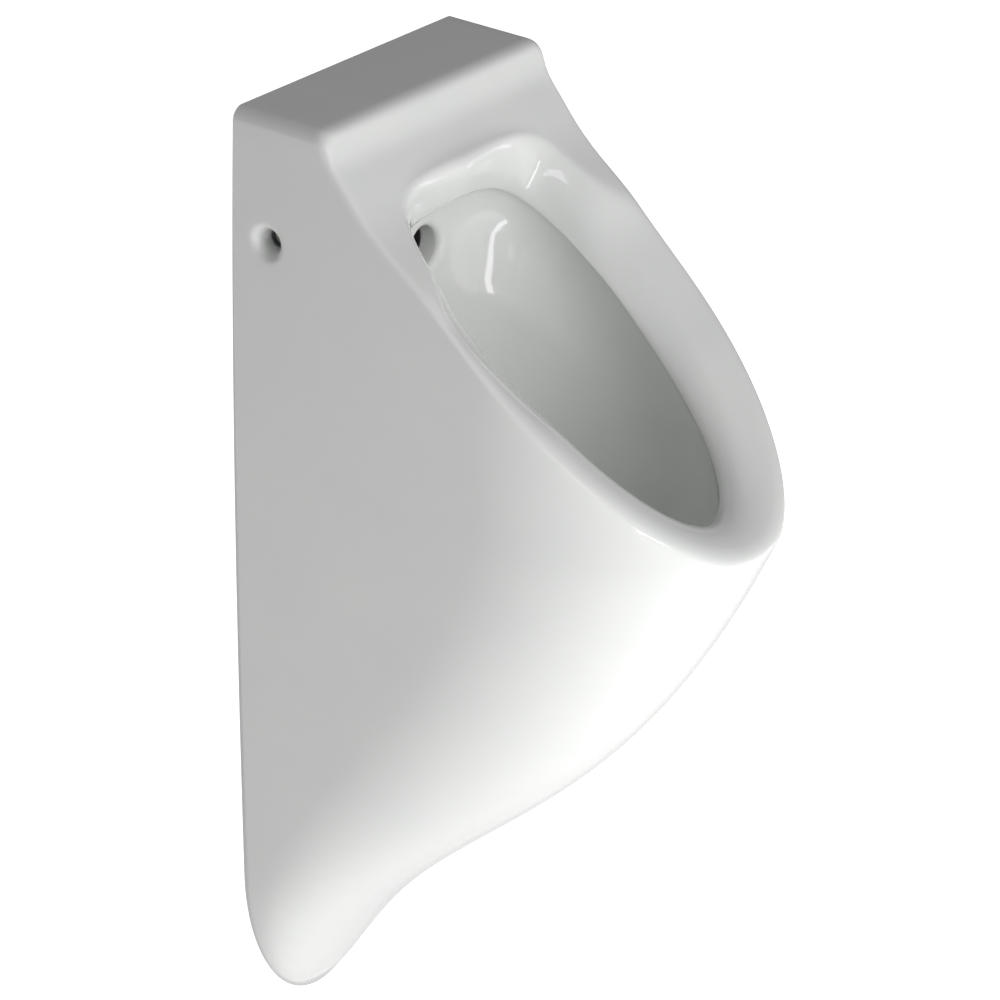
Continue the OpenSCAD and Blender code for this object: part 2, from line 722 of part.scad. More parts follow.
// Waste
module waste_body() {
    hang() color(chrome_c)
        translate([0, -outlet_d, 0])
            difference() {
                union() {
                    translate([0, 0, flange_z])
                        cylinder(r = recess_r - 5 * play, h = flange_t);
                    translate([0, 0, flange_z - tail_l])
                        cylinder(r = tail_r, h = tail_l + flange_t / 2);
                }
                translate([0, 0, flange_z - tail_l - cut])
                    cylinder(r = tail_bore_r, h = tail_l + flange_t + 2 * cut);
                translate([0, 0, seat_z])
                    cylinder(r = seat_r, h = seat_depth + cut);
            }
}
module waste_top_seal() {
    hang() color(rubber_c)
        translate([0, -outlet_d, gasket_z])
            tube(recess_r - 5 * play, outlet_r, waste_seal_t);
}
module waste_lower_seal() {
    hang() color(rubber_c)
        translate([0, -outlet_d, boss_z - waste_seal_t])
            tube(lock_nut_w / 2, tail_r + play, waste_seal_t);
}
module waste_lock_nut() {
    hang() color(plastic_c)
        translate([0, -outlet_d, nut_z - lock_nut_t])
            difference() {
                hex_prism(lock_nut_w, lock_nut_t);
                translate([0, 0, -cut])
                    cylinder(r = tail_r + play, h = lock_nut_t + 2 * cut);
            }
}

// Strainer and dip tube, which lift out upwards
strainer_z = flange_z + flange_t + lift_gap;
module strainer() {
    hang() color(steel_c)
        translate([0, -outlet_d, strainer_z])
            difference() {
                union() {
                    cylinder(r = strainer_r, h = strainer_t);
                    translate([0, 0, -skirt_l])
                        tube(skirt_r, skirt_r - strainer_t, skirt_l + strainer_t / 2);
                }
                for (ring = [[1, 0], [6, 0.27], [12, 0.52]])
                    for (i = [0 : ring[0] - 1])
                        rotate([0, 0, i * 360 / ring[0]])
                            translate([ring[1] * strainer_r, 0, -cut])
                                cylinder(r = strainer_hole_r, h = strainer_t + 2 * cut, $fn = 24);
            }
}
collar_z = seat_z + lift_gap;
module dip_tube() {
    hang() color(plastic_c)
        translate([0, -outlet_d, 0])
            difference() {
                union() {
                    translate([0, 0, collar_z])
                        cylinder(r = collar_r, h = collar_h);
                    translate([0, 0, -dip_end_z])
                        cylinder(r = dip_r, h = dip_end_z + collar_z + collar_h / 2);
                }
                translate([0, 0, -dip_end_z - cut])
                    cylinder(r = dip_r - dip_t, h = dip_end_z + collar_z + collar_h + 2 * cut);
            }
}
module dip_tube_ring() {
    hang() color(rubber_c)
        translate([0, -outlet_d, collar_z - 2 * ring_t])
            rotate_extrude()
                translate([dip_r + ring_t / 2 - play / 2, 0])
                    circle(r = ring_t / 2 - play / 2);
}

// Trap
module grip_nut(r, h) {
    union() {
        cylinder(r = r, h = h);
        for (i = [0 : grip_ribs - 1])
            rotate([0, 0, i * 360 / grip_ribs])
                translate([r, 0, 0])
                    cylinder(r = grip_r, h = h);
    }
}
module slip_nut_shape(r, h, hole_r, thread_r) {
    difference() {
        grip_nut(r, h);
        translate([0, 0, -cut])
            cylinder(r = thread_r, h = h - nut_rim_t + cut);
        translate([0, 0, -cut])
            cylinder(r = hole_r, h = h + 2 * cut);
    }
}
neck_z = -union_z - nut_rim_t - slip_washer_t;
module union_nut() {
    hang() color(plastic_c)
        translate([0, -outlet_d, -union_z - union_h])
            slip_nut_shape(union_r - grip_r, union_h, tail_r + 3 * play, neck_r + play);
}
module union_washer() {
    hang() color(rubber_c)
        translate([0, -outlet_d, neck_z])
            tube(neck_r, tail_r, slip_washer_t);
}
neck_in_r = tail_r + 3 * play;
bottle_top_z = -union_z - union_h - bottle_t;
module trap_bottle() {
    hang() color(plastic_c)
        difference() {
            union() {
                translate([0, -outlet_d, -bottle_z + bottle_bevel])
                    cylinder(r = bottle_r, h = bottle_top_z + bottle_z - bottle_bevel);
                translate([0, -outlet_d, -bottle_z])
                    cylinder(r1 = bottle_r - bottle_bevel, r2 = bottle_r, h = bottle_bevel);
                translate([0, -outlet_d, bottle_top_z])
                    cylinder(r = neck_r, h = neck_z - bottle_top_z);
                translate([0, -socket_end, -trap_out_z])
                    rotate([90, 0, 0])
                        cylinder(r = socket_r, h = outlet_d - socket_end);
            }
            translate([0, -outlet_d, -bottle_z + bottle_t + bottle_bevel])
                cylinder(r = bottle_r - bottle_t, h = bottle_top_z + bottle_z - 2 * bottle_t - bottle_bevel);
            translate([0, -outlet_d, -bottle_z + bottle_t])
                cylinder(r1 = bottle_r - bottle_t - bottle_bevel, r2 = bottle_r - bottle_t, h = bottle_bevel);
            translate([0, -outlet_d, bottle_top_z - 2 * bottle_t])
                cylinder(r = neck_in_r, h = neck_z - bottle_top_z + 2 * bottle_t + cut);
            translate([0, -socket_end + cut, -trap_out_z])
                rotate([90, 0, 0])
                    cylinder(r = pipe_r + play, h = outlet_d - socket_end - bottle_r + 2 * bottle_t + cut);
            translate([0, -socket_end, -trap_out_z])
                rotate([90, 0, 0])
                    cylinder(r = pipe_r - pipe_t, h = outlet_d - socket_end);
        }
}
module slip_nut() {
    hang() color(plastic_c)
        translate([0, -socket_end - slip_nut_l + nut_rim_t + slip_washer_t, -trap_out_z])
            rotate([-90, 0, 0])
                slip_nut_shape(slip_nut_r - grip_r, slip_nut_l, pipe_r + 3 * play, socket_r + play);
}
module slip_washer() {
    hang() color(rubber_c)
        translate([0, -socket_end + slip_washer_t, -trap_out_z])
            tube_y(socket_r, pipe_r, slip_washer_t);
}
module outlet_pipe() {
    hang() color(plastic_c)
        translate([0, pipe_in_wall, -trap_out_z])
            tube_y(pipe_r, pipe_r - pipe_t, pipe_in_wall + socket_end + 4 * pipe_t);
}
module wall_drain_seal() {
    hang() color(rubber_c)
        translate([0, 0, -trap_out_z])
            union() {
                translate([0, drain_seal_l, 0])
                    tube_y(drain_seal_r, pipe_r, drain_seal_l);
                tube_y(drain_flange_r, pipe_r, pipe_t);
            }
}

ceramic_body();
left_bracket();
right_bracket();
bracket_weld_nuts();
side_set_screws();
side_hole_sleeves();
wall_screws();
wall_screw_washers();
wall_plugs();
flush_pipe();
inlet_seal();
strainer();
dip_tube();
dip_tube_ring();
waste_body();
waste_top_seal();
waste_lower_seal();
waste_lock_nut();
union_nut();
union_washer();
trap_bottle();
slip_nut();
slip_washer();
outlet_pipe();
wall_drain_seal();
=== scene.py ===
import math
import bmesh
import bpy
from mathutils import Matrix, Quaternion, Vector
from mathutils.bvhtree import BVHTree
from mathutils.geometry import delaunay_2d_cdt


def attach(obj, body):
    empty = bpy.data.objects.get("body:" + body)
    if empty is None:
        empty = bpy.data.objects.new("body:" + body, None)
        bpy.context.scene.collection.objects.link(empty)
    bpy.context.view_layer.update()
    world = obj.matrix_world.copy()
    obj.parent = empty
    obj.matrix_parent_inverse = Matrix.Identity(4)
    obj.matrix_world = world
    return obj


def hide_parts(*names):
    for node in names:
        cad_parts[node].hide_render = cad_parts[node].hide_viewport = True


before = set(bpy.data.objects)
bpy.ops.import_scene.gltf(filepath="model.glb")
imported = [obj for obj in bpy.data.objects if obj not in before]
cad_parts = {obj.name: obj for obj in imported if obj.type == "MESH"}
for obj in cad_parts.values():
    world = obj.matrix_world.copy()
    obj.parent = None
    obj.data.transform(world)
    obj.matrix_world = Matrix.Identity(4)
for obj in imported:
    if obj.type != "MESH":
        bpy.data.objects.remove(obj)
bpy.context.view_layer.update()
print("frame loaded", len(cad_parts), "nodes")

# colours and nodes


def linearColour(hexValue):
    # sRGB hex to the linear values that the shader takes
    parts = [int(hexValue[i:i + 2], 16) / 255 for i in (1, 3, 5)]
    return tuple(c / 12.92 if c <= 0.04045 else ((c + 0.055) / 1.055) ** 2.4 for c in parts) + (1.0,)


def addNode(tree, kind, settings=None, links=None):
    # one node with its settings and the links that come into it
    node = tree.nodes.new(kind)
    for key, value in (settings or {}).items():
        if key in node.inputs:
            node.inputs[key].default_value = value
        else:
            setattr(node, key, value)
    for key, source in (links or {}).items():
        tree.links.new(source, node.inputs[key])
    return node


def startMaterial(name, settings):
    # a material whose shader has the settings that are the same all over; patterns are linked in afterwards
    material = bpy.data.materials.new(name)
    material.use_nodes = True
    tree = material.node_tree
    tree.nodes.clear()
    shader = addNode(tree, "ShaderNodeBsdfPrincipled", settings)
    addNode(tree, "ShaderNodeOutputMaterial", None, {"Surface": shader.outputs["BSDF"]})
    place = addNode(tree, "ShaderNodeTexCoord")
    return material, tree, shader, place.outputs["Object"]


def perMetre(sizeMm):
    # noise scale that gives features of this size
    return 1000.0 / sizeMm


def glazedVitreousChina():
    # fired vitreous china under a clear glaze: bright, slightly cool white, soft wide
    # highlights with a faint waviness where the glaze ran
    look = {"body": "#EDEEEC", "pooled": "#E6E8E7", "glossiest": 0.06, "dullest": 0.09375,
            "runMm": 55.0, "rippleMm": 9.0, "rippleHeight": 0.0004, "rippleStrength": 0.05}
    material, tree, shader, place = startMaterial(
        "glazed vitreous china", {"IOR": 1.52, "Coat Weight": 0.5, "Coat Roughness": 0.03})
    run = addNode(tree, "ShaderNodeTexNoise", {"Scale": perMetre(look["runMm"]), "Detail": 2.0},
                  {"Vector": place})
    tint = addNode(tree, "ShaderNodeMix", {"data_type": "RGBA"}, {"Factor": run.outputs["Fac"]})
    tint.inputs[6].default_value = linearColour(look["body"])  # 6 and 7 are the mix's two colours
    tint.inputs[7].default_value = linearColour(look["pooled"])
    tree.links.new(tint.outputs[2], shader.inputs["Base Color"])
    gloss = addNode(tree, "ShaderNodeMapRange", {"To Min": look["glossiest"], "To Max": look["dullest"]},
                    {"Value": run.outputs["Fac"]})
    tree.links.new(gloss.outputs["Result"], shader.inputs["Roughness"])
    ripple = addNode(tree, "ShaderNodeTexNoise", {"Scale": perMetre(look["rippleMm"]), "Detail": 1.0},
                     {"Vector": place})
    bump = addNode(tree, "ShaderNodeBump",
                   {"Strength": look["rippleStrength"], "Distance": look["rippleHeight"]},
                   {"Height": ripple.outputs["Fac"]})
    tree.links.new(bump.outputs["Normal"], shader.inputs["Normal"])
    return material


def zincPlatedSteel():
    # pressed steel with a passivated zinc coat: dull silver with a faint yellow bloom
    look = {"zinc": "#B9B8B2", "bloom": "#B5AE97", "glossiest": 0.28, "dullest": 0.5, "grainMm": 6.0}
    material, tree, shader, place = startMaterial("zinc plated steel", {"Metallic": 1.0})
    bloom = addNode(tree, "ShaderNodeTexNoise", {"Scale": perMetre(look["grainMm"]), "Detail": 4.0},
                    {"Vector": place})
    tint = addNode(tree, "ShaderNodeMix", {"data_type": "RGBA"}, {"Factor": bloom.outputs["Fac"]})
    tint.inputs[6].default_value = linearColour(look["zinc"])
    tint.inputs[7].default_value = linearColour(look["bloom"])
    tree.links.new(tint.outputs[2], shader.inputs["Base Color"])
    gloss = addNode(tree, "ShaderNodeMapRange", {"To Min": look["glossiest"], "To Max": look["dullest"]},
                    {"Value": bloom.outputs["Fac"]})
    tree.links.new(gloss.outputs["Result"], shader.inputs["Roughness"])
    return material


def brushedStainlessSteel():
    # rolled sheet with a brushed face: neutral grey with long streaks, drawn coarser than real ones so that
    # they show
    look = {"steel": "#C4C5C6", "streak": "#A9AAAC", "glossiest": 0.2, "dullest": 0.38,
            "streakMm": 0.6, "lengthwise": 0.04}
    material, tree, shader, place = startMaterial("brushed stainless steel", {"Metallic": 1.0})
    stretch = addNode(tree, "ShaderNodeMapping", {"Scale": (look["lengthwise"], 1.0, 1.0)}, {"Vector": place})
    streak = addNode(tree, "ShaderNodeTexNoise", {"Scale": perMetre(look["streakMm"]), "Detail": 3.0},
                     {"Vector": stretch.outputs["Vector"]})
    tint = addNode(tree, "ShaderNodeMix", {"data_type": "RGBA"}, {"Factor": streak.outputs["Fac"]})
    tint.inputs[6].default_value = linearColour(look["steel"])
    tint.inputs[7].default_value = linearColour(look["streak"])
    tree.links.new(tint.outputs[2], shader.inputs["Base Color"])
    gloss = addNode(tree, "ShaderNodeMapRange", {"To Min": look["glossiest"], "To Max": look["dullest"]},
                    {"Value": streak.outputs["Fac"]})
    tree.links.new(gloss.outputs["Result"], shader.inputs["Roughness"])
    return material


def chromedBrass():
    # bright nickel and chrome on turned brass: blue grey mirror whose gloss varies with the turning, drawn
    # coarser than real turning marks
    look = {"chrome": "#D2D5D8", "glossiest": 0.06, "dullest": 0.14, "turningMm": 1.2}
    material, tree, shader, place = startMaterial(
        "chromed brass", {"Metallic": 1.0, "Base Color": linearColour(look["chrome"])})
    marks = addNode(tree, "ShaderNodeTexNoise", {"Scale": perMetre(look["turningMm"]), "Detail": 2.0},
                    {"Vector": place})
    gloss = addNode(tree, "ShaderNodeMapRange", {"To Min": look["glossiest"], "To Max": look["dullest"]},
                    {"Value": marks.outputs["Fac"]})
    tree.links.new(gloss.outputs["Result"], shader.inputs["Roughness"])
    return material


def mouldedPolypropylene():
    # injection moulded white polypropylene: waxy half gloss, a spark texture that is drawn a little coarse
    look = {"plastic": "#E2E2DC", "flow": "#DAD9D1", "flowMm": 25.0,
            "sparkMm": 0.8, "sparkHeight": 0.0001, "sparkStrength": 0.15}
    material, tree, shader, place = startMaterial(
        "moulded polypropylene", {"Roughness": 0.34, "IOR": 1.49, "Subsurface Weight": 0.1,
                                  "Subsurface Radius": (0.002, 0.002, 0.0018)})
    flow = addNode(tree, "ShaderNodeTexNoise", {"Scale": perMetre(look["flowMm"]), "Detail": 2.0},
                   {"Vector": place})
    tint = addNode(tree, "ShaderNodeMix", {"data_type": "RGBA"}, {"Factor": flow.outputs["Fac"]})
    tint.inputs[6].default_value = linearColour(look["plastic"])
    tint.inputs[7].default_value = linearColour(look["flow"])
    tree.links.new(tint.outputs[2], shader.inputs["Base Color"])
    spark = addNode(tree, "ShaderNodeTexNoise", {"Scale": perMetre(look["sparkMm"]), "Detail": 1.0},
                    {"Vector": place})
    bump = addNode(tree, "ShaderNodeBump",
                   {"Strength": look["sparkStrength"], "Distance": look["sparkHeight"]},
                   {"Height": spark.outputs["Fac"]})
    tree.links.new(bump.outputs["Normal"], shader.inputs["Normal"])
    return material


def mouldedNylon():
    # glass filled nylon, moulded: dark grey, matt, slightly mottled
    look = {"nylon": "#3A3C3F", "pale": "#47494C", "mottleMm": 2.5}
    material, tree, shader, place = startMaterial("moulded nylon", {"Roughness": 0.55, "IOR": 1.53})
    mottle = addNode(tree, "ShaderNodeTexNoise", {"Scale": perMetre(look["mottleMm"]), "Detail": 4.0},
                     {"Vector": place})
    tint = addNode(tree, "ShaderNodeMix", {"data_type": "RGBA"}, {"Factor": mottle.outputs["Fac"]})
    tint.inputs[6].default_value = linearColour(look["nylon"])
    tint.inputs[7].default_value = linearColour(look["pale"])
    tree.links.new(tint.outputs[2], shader.inputs["Base Color"])
    return material


def mouldedRubber():
    # black rubber, moulded: deep grey, dry, a little bloom on the surface
    look = {"rubber": "#1B1B1C", "bloom": "#2A2A2A", "bloomMm": 4.0}
    material, tree, shader, place = startMaterial("moulded rubber", {"Roughness": 0.7, "IOR": 1.5})
    bloom = addNode(tree, "ShaderNodeTexNoise", {"Scale": perMetre(look["bloomMm"]), "Detail": 5.0},
                    {"Vector": place})
    tint = addNode(tree, "ShaderNodeMix", {"data_type": "RGBA"}, {"Factor": bloom.outputs["Fac"]})
    tint.inputs[6].default_value = linearColour(look["rubber"])
    tint.inputs[7].default_value = linearColour(look["bloom"])
    tree.links.new(tint.outputs[2], shader.inputs["Base Color"])
    return material


china = glazedVitreousChina()
zinc = zincPlatedSteel()
stainless = brushedStainlessSteel()
chrome = chromedBrass()
plastic = mouldedPolypropylene()
nylon = mouldedNylon()
rubber = mouldedRubber()
print("materials made")

# the ware: sizes in millimetres, heights counted down from the top edge, "out" counted from the wall
ware = {
    # the whole and its outline from the front
    "width": 240.0, "height": 702.0, "depth": 343.5, "wall": 12.0, "inletHeight": 117.0,
    "sideTaper": 26.8, "taperHeight": 560.0, "taperPower": 1.5, "endHeight": 127.0,
    "cornerRound": 9.0, "edgeRound": 9.0, "backRound": 0.8,
    # side view: block, cove, rim line and the curve of the underside
    "blockDepth": 71.5, "blockLean": 0.27, "rimLine": 46.0, "rimRise": 0.87,
    "coveDip": 5.5, "coveHeight": 60.0, "coveHalf": 34.0, "coveBlend": 7.0,
    "rimBack": 2.5, "rimPlain": 200.0, "rimSoft": 60.0,
    "underOut1": 229.0, "underUp1": 173.4, "underOut2": 107.2, "underUp2": 200.3,
    # plan: straight sides, then a round front
    "planStraight": 196.0, "flatShare": 0.57, "planPower": 1.5,
    # the mouth, its angles in degrees round from the top
    "mouthHalf": 73.0, "mouthWide": 122.0, "mouthTop": 55.0, "mouthLow": 228.4, "mouthPower": 4.5,
    "cornerFrom": 45.0, "cornerTo": 52.0,
    # the lip that rolls into the mouth, with a soft bead above it
    "lipDropTop": 26.0, "lipDropSide": 28.0, "lipDropFront": 22.0, "lipDropCorner": 7.0,
    "lipWidthTop": 16.0, "lipWidthSide": 48.0, "lipPower": 5, "lipRound": 166.0, "lipStraight": 71.0,
    "rollPower": 1.25, "bulge": 3.5, "bulgeWidth": 9.0, "bulgePower": 1.2,
    # the bowl
    "bowlBack": 67.0, "roof": 32.0, "floorUp": 317.0, "floorRound": 29.0,
    "frontOut1": 306.0, "frontShare1": 0.286, "frontOut2": 250.0, "frontShare2": 0.907,
    "bowlHalf1": 92.0, "bowlHalf2": 70.0, "roofShare": 0.26, "ovalShare": 0.35,
    # the outlet with its seat, the flush hole and the side holes
    "outletOut": 96.0, "outletRound": 21.0, "outletThick": 17.0, "outletEdge": 1.0,
    "recessDepth": 6.0, "recessRound": 27.0, "seatRound": 1.4, "bossRound": 41.0, "bossMiddle": 0.45,
    "inletRound": 16.0, "inletBoss": 26.0, "inletBossEnd": 36.0,
    "sideHeight": 86.5, "sideOut": 28.0, "sideHole": 6.25, "sideThick": 20.0, "sideBoss": 19.0,
    # how fine the mesh is: steps along a row, then how many rows and how they crowd together
    "topSteps": 12, "cornerSteps": 8, "sideSteps": 64,
    "outerRings": 44, "outerGrowth": 1.35, "edgeRings": 6, "rimRings": 30,
    "roofRings": 10, "roofGrowth": 1.5, "bowlRings": 34,
    # which rows are repeated on the inside of the china, and how those keep clear of the wall and of folds
    "innerSkip": 3, "innerSkin": 0.92, "innerRim": (0.32, 0.2, 0.1), "innerRoof": (8, 5, 2),
    "innerBack": 0.9, "innerSpread": 0.15,
    # how exactly a height is searched for, points that count as one, and what stands in for nothing
    "searchSteps": 40, "merge": 0.01, "least": 1e-6,
}
rimFront = ware["rimRise"] * ware["depth"] - ware["rimLine"]
floorHeight = ware["height"] - ware["floorUp"]
rimAngle = math.atan(ware["rimRise"])
stepsAround = ware["topSteps"] + ware["cornerSteps"] + ware["sideSteps"]


def mixed(a, b, t):
    # t of the way from a to b
    return a + (b - a) * t


def limited(value, low, high):
    # the value, kept within low and high
    return min(max(value, low), high)


def curveAt(a, b, c, d, t):
    # a smooth curve from a to d that leans to b and c on its way
    return a * (1 - t) ** 3 + 3 * b * (1 - t) ** 2 * t + 3 * c * (1 - t) * t * t + d * t ** 3


def turningPlace(low, high, isBefore):
    # narrows a range down to the place where a test turns false
    for _ in range(ware["searchSteps"]):
        middle = (low + high) / 2
        if isBefore(middle):
            low = middle
        else:
            high = middle
    return (low + high) / 2


def everyPoint(place):
    # one row over half the ware, from the middle of its top edge round to the middle of its front
    return [place(j) for j in range(stepsAround + 1)]


def halfWidth(h):
    # front view: slightly tapered sides over a round lower end
    end = limited((h - (ware["height"] - ware["endHeight"])) / ware["endHeight"], 0, 1)
    side = ware["width"] / 2 - ware["sideTaper"] * (h / ware["taperHeight"]) ** ware["taperPower"]
    return side * math.sqrt(max(0.0, 1 - end * end))


def rimDepth(h):
    # side view of the rim's straight slope
    return (ware["rimLine"] + h) / ware["rimRise"]


def frontLine(h):
    # side view of block, cove and rim
    if h > ware["rimPlain"]:
        return rimDepth(h)
    off = h - ware["coveHeight"]
    cove = 0.0
    if abs(off) < ware["coveHalf"]:
        cove = ware["coveDip"] * math.cos(off / ware["coveHalf"] * math.pi / 2) ** 2
    soft = ware["rimBack"] * limited((ware["rimPlain"] - h) / ware["rimSoft"], 0, 1)
    a = ware["blockDepth"] + ware["blockLean"] * h
    b = rimDepth(h) - cove - soft
    return (a + b + math.sqrt((a - b) ** 2 + ware["coveBlend"] ** 2)) / 2


def underDepth(h):
    # side view of the underside
    if h <= rimFront:
        return ware["depth"]
    if h >= ware["height"]:
        return 0.0
    down1 = ware["height"] - ware["underUp1"]
    down2 = ware["height"] - ware["underUp2"]
    share = turningPlace(0.0, 1.0, lambda t: curveAt(rimFront, down1, down2, ware["height"], t) < h)
    return curveAt(ware["depth"], ware["underOut1"], ware["underOut2"], 0.0, share)


def widthAt(out, h):
    # plan at a height: the half width at a distance out from the wall
    if h <= rimFront:
        flat = ware["planStraight"]
    else:
        share = limited((h - rimFront) / (ware["height"] - rimFront), 0, 1)
        flat = ware["flatShare"] * underDepth(h) * (1 - share * share) ** ware["planPower"]
    deep = underDepth(h)
    if out <= flat:
        return halfWidth(h)
    share = min((out - flat) / max(deep - flat, ware["least"]), 1.0)  # never divides by zero
    return halfWidth(h) * math.sqrt(max(0.0, 1 - share ** 2))


def closingHeight(v):
    # height where the outer skin closes at a share v of the way from the wall to the rim
    if v <= 0:
        return ware["height"]
    if v >= 1:
        return rimFront
    return turningPlace(rimFront, ware["height"], lambda h: underDepth(h) > rimDepth(h) * v)


def skinPoint(j, v, lowest):
    # point j of a row on the outer skin, a share v of the way from the wall to the rim
    top, corner = ware["topSteps"], ware["cornerSteps"]
    if j <= top:
        return Vector(((ware["width"] / 2 - ware["cornerRound"]) * j / top, -frontLine(0) * v, 0))
    if j <= top + corner:
        a = (j - top) / corner * math.pi / 2
        h = ware["cornerRound"] * (1 - math.cos(a))
        return Vector((ware["width"] / 2 - ware["cornerRound"] * (1 - math.sin(a)), -frontLine(h) * v, -h))
    a = (j - top - corner) / ware["sideSteps"] * math.pi / 2
    h = ware["cornerRound"] + (lowest - ware["cornerRound"]) * math.sin(a)
    out = frontLine(h) * v
    return Vector((0 if j == stepsAround else widthAt(out, h), -out, -h))


def mouthAngle(j):
    # the mouth's angle that goes with point j of a row
    top, corner = ware["topSteps"], ware["cornerSteps"]
    if j <= top:
        degrees = mixed(0, ware["cornerFrom"], j / top)
    elif j <= top + corner:
        degrees = mixed(ware["cornerFrom"], ware["cornerTo"], (j - top) / corner)
    else:
        degrees = mixed(ware["cornerTo"], 180, (j - top - corner) / ware["sideSteps"])
    return math.radians(degrees)


def mouthSquare(a):
    # the opening's upper half is squarer than an ellipse
    if a > math.pi / 2:
        return 1.0
    power = ware["mouthPower"]
    return (abs(math.sin(a)) ** power + abs(math.cos(a)) ** power) ** (1 / power)


def mouthHeight(a):
    end = ware["mouthTop"] if a <= math.pi / 2 else ware["mouthLow"]
    reach = abs(ware["mouthWide"] - end)
    return ware["mouthWide"] - reach * math.cos(a) / mouthSquare(a)


def mouthX(a):
    return ware["mouthHalf"] * abs(math.sin(a)) / mouthSquare(a)


def onFront(x, h, out):
    # a point on the front, raised by out at right angles to the rim
    return Vector((x, -frontLine(h) - out * math.sin(rimAngle), -h + out * math.cos(rimAngle)))


def rimPoint(j, m):
    # point j on the rim, a share m of the way from its outer edge to the mouth
    edge = skinPoint(j, 1, rimFront)
    a = mouthAngle(j)
    h = mixed(-edge.z, mouthHeight(a), m)
    x = mixed(edge.x, mouthX(a), m)
    span = (onFront(mouthX(a), mouthHeight(a), 0) - edge).length
    if a <= math.pi / 2:
        lipDrop = mixed(ware["lipDropTop"], ware["lipDropSide"], math.sin(a) ** 2)
        lipDrop += ware["lipDropCorner"] * math.sin(2 * a) ** 2
        lipWide = min(span, mixed(ware["lipWidthTop"], ware["lipWidthSide"], math.sin(a) ** ware["lipPower"]))
    else:
        lipDrop = mixed(ware["lipDropSide"], ware["lipDropFront"], math.cos(a) ** 2)
        lipWide = span
    d = (1 - m) * span
    roll = limited(1 - d / lipWide, 0, 1)
    straight = math.sin(min(a, math.pi / 2)) * limited((ware["lipRound"] - h) / ware["lipStraight"], 0, 1)
    drop = lipDrop * mixed(1 - math.sqrt(max(0.0, 1 - roll * roll)), roll ** ware["rollPower"], straight)
    bead = math.exp(-((d - ware["bulgeWidth"]) / ware["bulgeWidth"]) ** 2)
    rise = ware["bulge"] * max(math.cos(a), 0) ** ware["bulgePower"] * bead
    return onFront(x, h, rise * (1 - roll * roll) - drop)


lipTop = rimPoint(0, 1)
lipLow = rimPoint(stepsAround, 1)


def bowlBack(b):
    # the bowl's back line in its middle plane: a rounded roof, then down to the floor
    share = ware["roofShare"]
    if b < share:
        q = b / share * math.pi / 2
        return Vector((mixed(lipTop.y, -ware["bowlBack"], math.sin(q)),
                       lipTop.z - ware["roof"] * (1 - math.cos(q))))
    t = (b - share) / (1 - share)
    return Vector((mixed(-ware["bowlBack"], -ware["outletOut"] + ware["floorRound"], t ** 3),
                   mixed(lipTop.z - ware["roof"], -floorHeight, t)))


def bowlFront(b):
    # the bowl's front line in its middle plane
    floorFront = -ware["outletOut"] - ware["floorRound"]
    height1 = mixed(lipLow.z, -floorHeight, ware["frontShare1"])
    height2 = mixed(lipLow.z, -floorHeight, ware["frontShare2"])
    return Vector((curveAt(lipLow.y, -ware["frontOut1"], -ware["frontOut2"], floorFront, b),
                   curveAt(lipLow.z, height1, height2, -floorHeight, b)))


def bowlRing(j, b):
    a = mouthAngle(j)
    oval = min(1.0, b / ware["ovalShare"])  # the bowl soon turns from the mouth's shape to a plain oval
    mouthShare = (mouthHeight(a) - ware["mouthTop"]) / (ware["mouthLow"] - ware["mouthTop"])
    forward = mixed(mouthShare, (1 - math.cos(a)) / 2, oval)
    sideways = mixed(mouthX(a) / ware["mouthHalf"], math.sin(a), oval)
    p = bowlBack(b) + (bowlFront(b) - bowlBack(b)) * forward
    half = curveAt(ware["mouthHalf"], ware["bowlHalf1"], ware["bowlHalf2"], ware["floorRound"], b)
    return Vector((half * sideways, p.x, p.y))


def bowlPoint(j, b):
    # a point on the bowl that starts exactly at the lip
    return bowlRing(j, b) + (rimPoint(j, 1) - bowlRing(j, 0)) * (1 - b) ** 3


def edgeShares(j):
    # where the rounding of the rim's outer edge starts on the skin and ends on the rim
    edge = skinPoint(j, 1, rimFront)
    span = (onFront(mouthX(mouthAngle(j)), mouthHeight(mouthAngle(j)), 0) - edge).length
    return 1 - ware["edgeRound"] / (edge - skinPoint(j, 0, ware["height"])).length, ware["edgeRound"] / span


def outerRings():
    rings = []
    shares = everyPoint(edgeShares)
    for i in range(ware["outerRings"] + 1):
        t = (i / ware["outerRings"]) ** ware["outerGrowth"]
        rings.append(everyPoint(lambda j: skinPoint(j, shares[j][0] * t, closingHeight(shares[j][0] * t))))
    starts = rings[-1]
    edges = everyPoint(lambda j: skinPoint(j, 1, rimFront))
    ends = everyPoint(lambda j: rimPoint(j, shares[j][1]))
    for i in range(1, ware["edgeRings"] + 1):
        t = i / (ware["edgeRings"] + 1)
        rings.append(everyPoint(
            lambda j: starts[j] * (1 - t) ** 2 + edges[j] * 2 * t * (1 - t) + ends[j] * t * t))
    for i in range(ware["rimRings"] + 1):
        s = math.sin(math.pi / 2 * i / ware["rimRings"])
        rings.append(everyPoint(lambda j: rimPoint(j, mixed(shares[j][1], 1, s))))
    for i in range(1, ware["roofRings"] + 1):
        b = ware["roofShare"] * (i / ware["roofRings"]) ** ware["roofGrowth"]
        rings.append(everyPoint(lambda j: bowlPoint(j, b)))
    for i in range(1, ware["bowlRings"] + 1):
        b = mixed(ware["roofShare"], 1, i / ware["bowlRings"])
        rings.append(everyPoint(lambda j: bowlPoint(j, b)))
    return rings


def roundRing(radius, z):
    # a level half circle about the outlet's axis
    angles = everyPoint(mouthAngle)
    return [Vector((radius * math.sin(a), radius * math.cos(a) - ware["outletOut"], z)) for a in angles]


